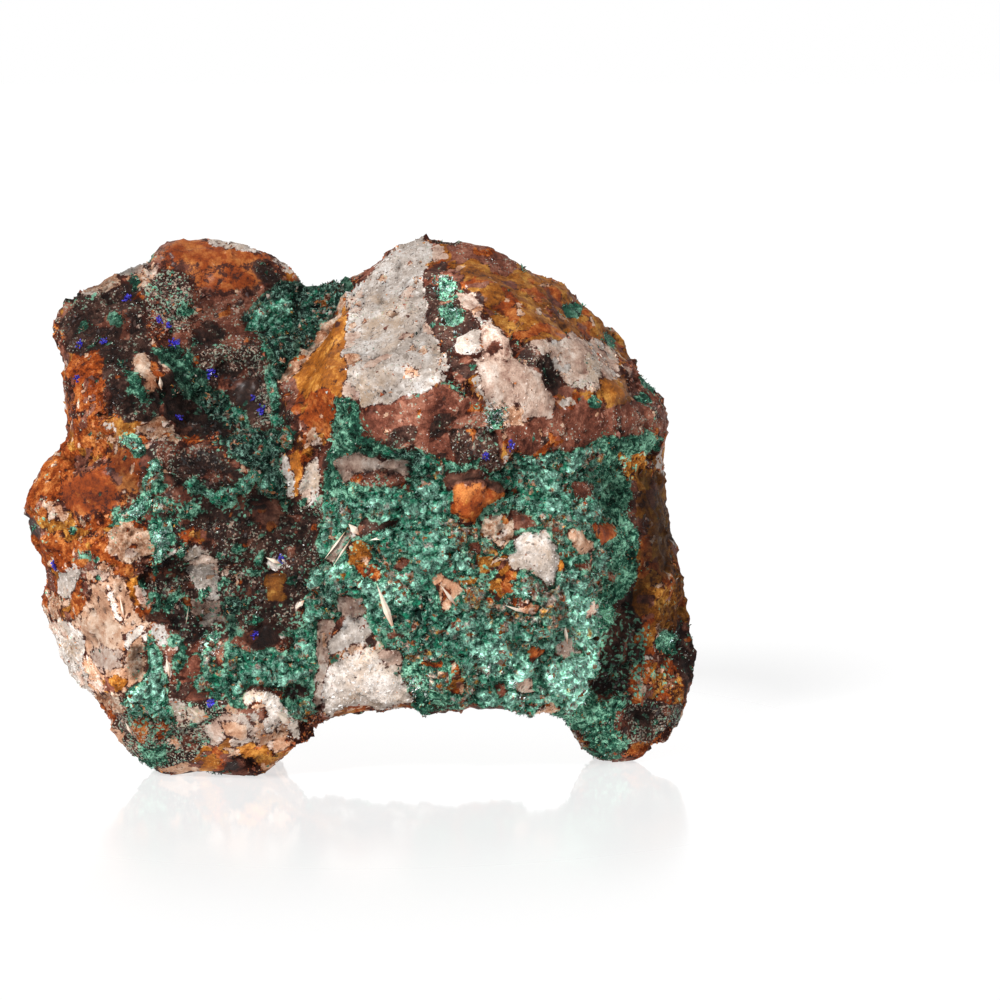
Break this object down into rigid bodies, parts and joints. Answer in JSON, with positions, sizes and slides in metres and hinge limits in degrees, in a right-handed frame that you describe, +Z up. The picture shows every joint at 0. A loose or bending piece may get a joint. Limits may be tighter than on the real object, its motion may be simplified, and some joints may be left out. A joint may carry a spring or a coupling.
{
  "type": "malachite druse",
  "caption": "Hand-sized lump of iron-stained quartz with two lobes and a deep cleft, crusted with green malachite crystals, standing on two rough feet.",
  "frame": {"origin": "middle of the lump's box, on the plane it stands on", "axes": "+X along the longest side, to the right seen from the crusted front; -Y the crusted front; +Z up"},
  "size_m": [0.1, 0.055, 0.079],
  "materials": {
    "stained_quartz": "broken, sugary quartz and limonite with rust, maroon and white patches",
    "malachite": "fine sparkling crystal tufts, green to pale mint",
    "azurite": "small glassy blue crystals"
  },
  "bodies": {
    "root": {"matrix_rock": "stained_quartz", "malachite_crust_main": "malachite", "malachite_crust_valley": "malachite", "malachite_crust_vein": "malachite"}
  },
  "joints": []
}
